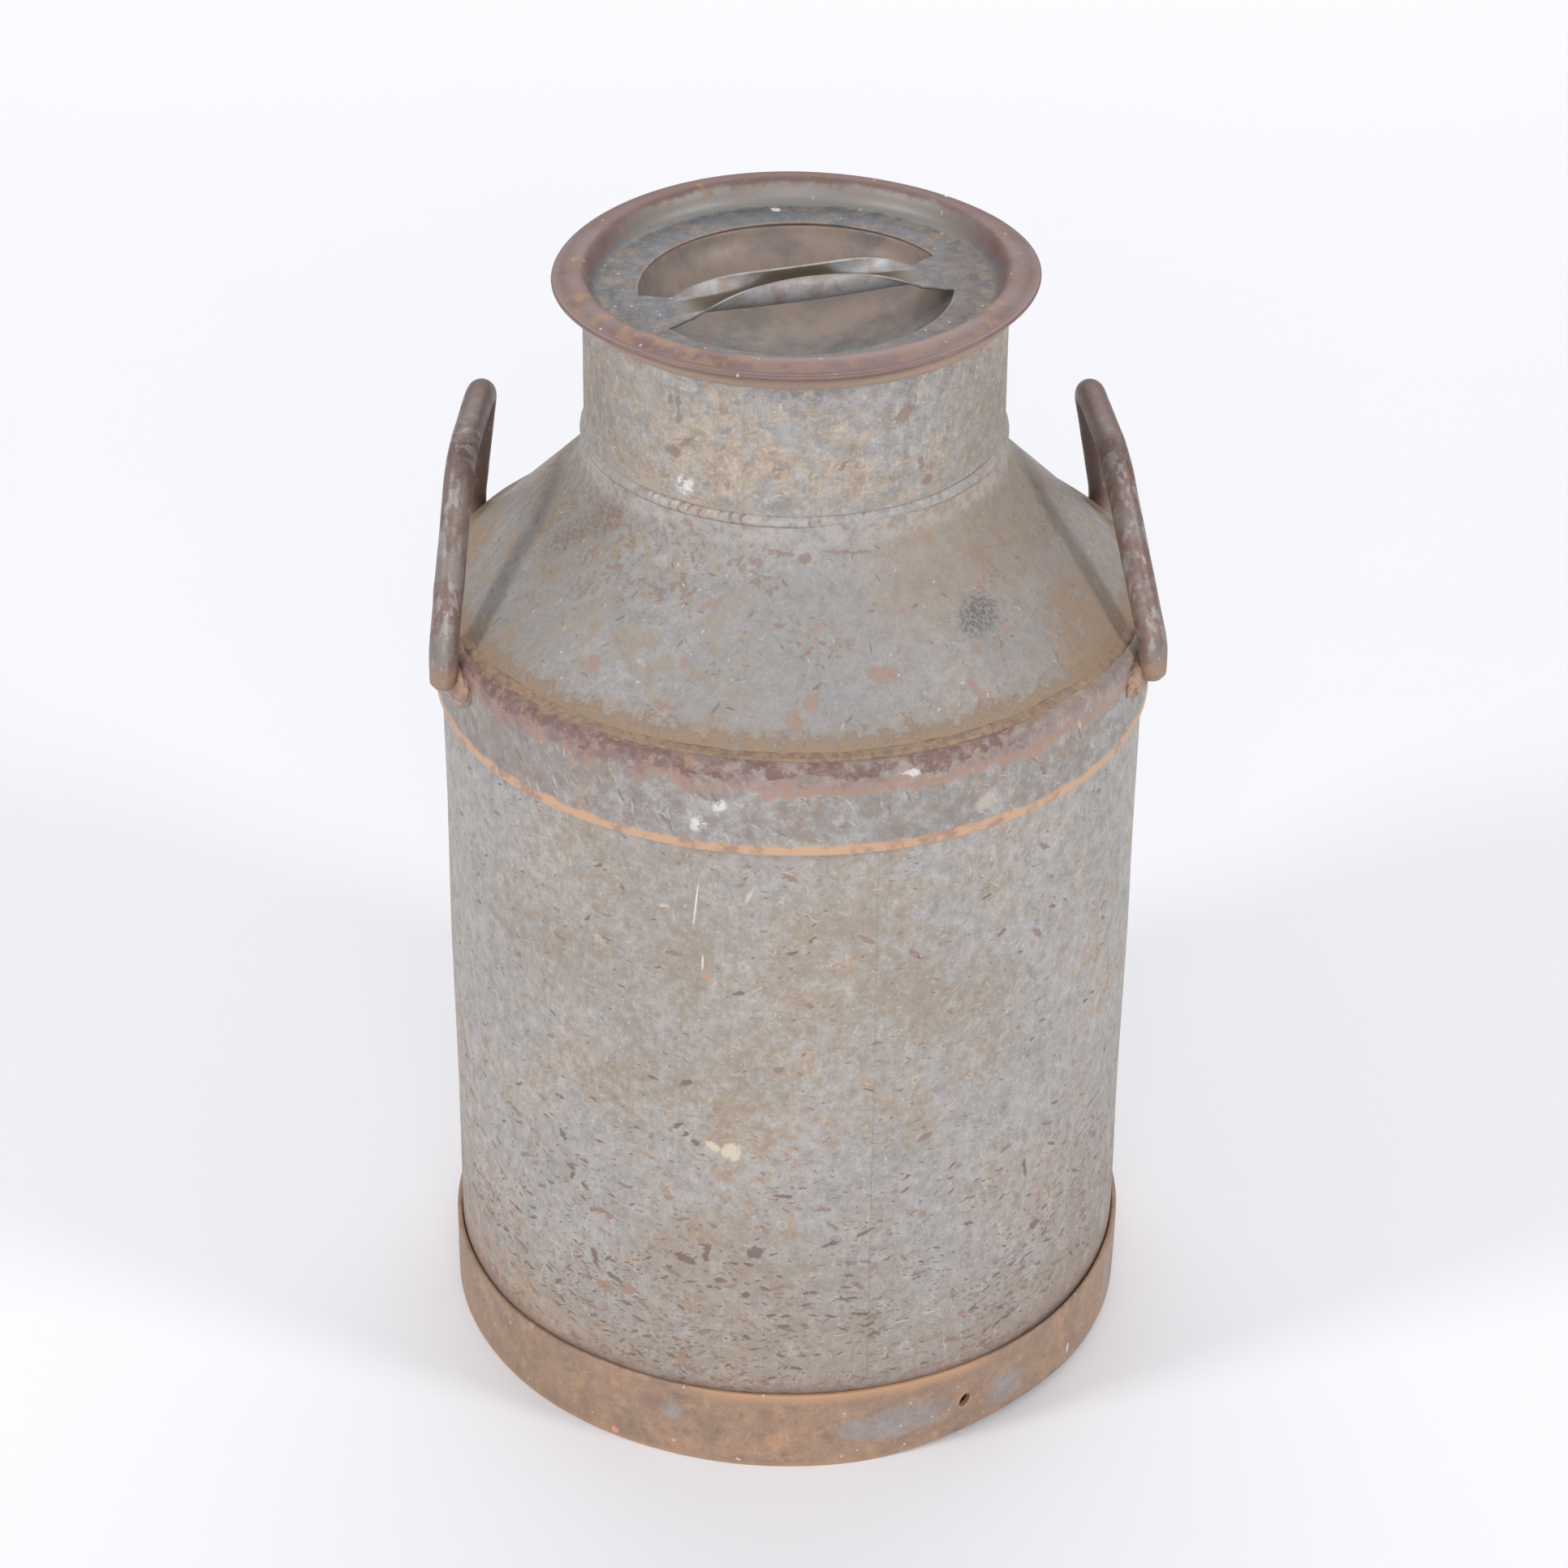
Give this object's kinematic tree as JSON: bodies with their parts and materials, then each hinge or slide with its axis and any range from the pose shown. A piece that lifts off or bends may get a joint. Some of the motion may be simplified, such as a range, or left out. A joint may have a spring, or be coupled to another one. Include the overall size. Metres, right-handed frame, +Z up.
{
  "type": "milk can",
  "caption": "Churn-shaped steel can with hooped barrel, coned shoulder, upright neck, bar handles and a lift-out plug lid with a sunken grip.",
  "frame": {"origin": "centre of the ring that the foot hoop stands on", "axes": "+Z up along the can's axis; +X towards the right-hand handle; -Y is the front with the side seam and the drain hole"},
  "size_m": [0.3514, 0.3486, 0.5795],
  "materials": {
    "galvanised_steel": "aged dull zinc, clouded grey with brown flecks",
    "rusted_steel": "zinc worn through to brown rust, matt",
    "handle_steel": "round bar, rusted and rubbed to a low sheen",
    "weld_metal": "rippled weld bead, matt",
    "steel_wire": "plain drawn wire",
    "rubber": "matt"
  },
  "bodies": {
    "can": {"barrel": "galvanised_steel", "barrel_seam_weld": "weld_metal", "bottom_dish": "galvanised_steel", "bottom_weld": "weld_metal", "foot_hoop": "rusted_steel", "shoulder_cone": "galvanised_steel", "shoulder_hoop": "rusted_steel", "shoulder_weld": "weld_metal", "neck": "galvanised_steel", "neck_weld": "weld_metal", "mouth_wire": "steel_wire", "left_handle": "handle_steel", "right_handle": "handle_steel", "left_handle_front_weld": "weld_metal", "left_handle_rear_weld": "weld_metal", "right_handle_front_weld": "weld_metal", "right_handle_rear_weld": "weld_metal"},
    "seal": {"lid_seal": "rubber"},
    "lid": {"lid_cover": "galvanised_steel", "lid_rim_wire": "steel_wire", "lid_bowl": "galvanised_steel", "lid_plug": "galvanised_steel", "lid_weld": "weld_metal"}
  },
  "joints": [
    {"name": "lid_lift", "type": "slide", "parent": "can", "child": "seal", "axis": [0, 0, 1], "range_m": [0, 0.12]},
    {"name": "lid_turn", "type": "hinge", "parent": "seal", "child": "lid", "pos_m": [0, 0, 0.55], "axis": [0, 0, 1], "continuous": true}
  ]
}
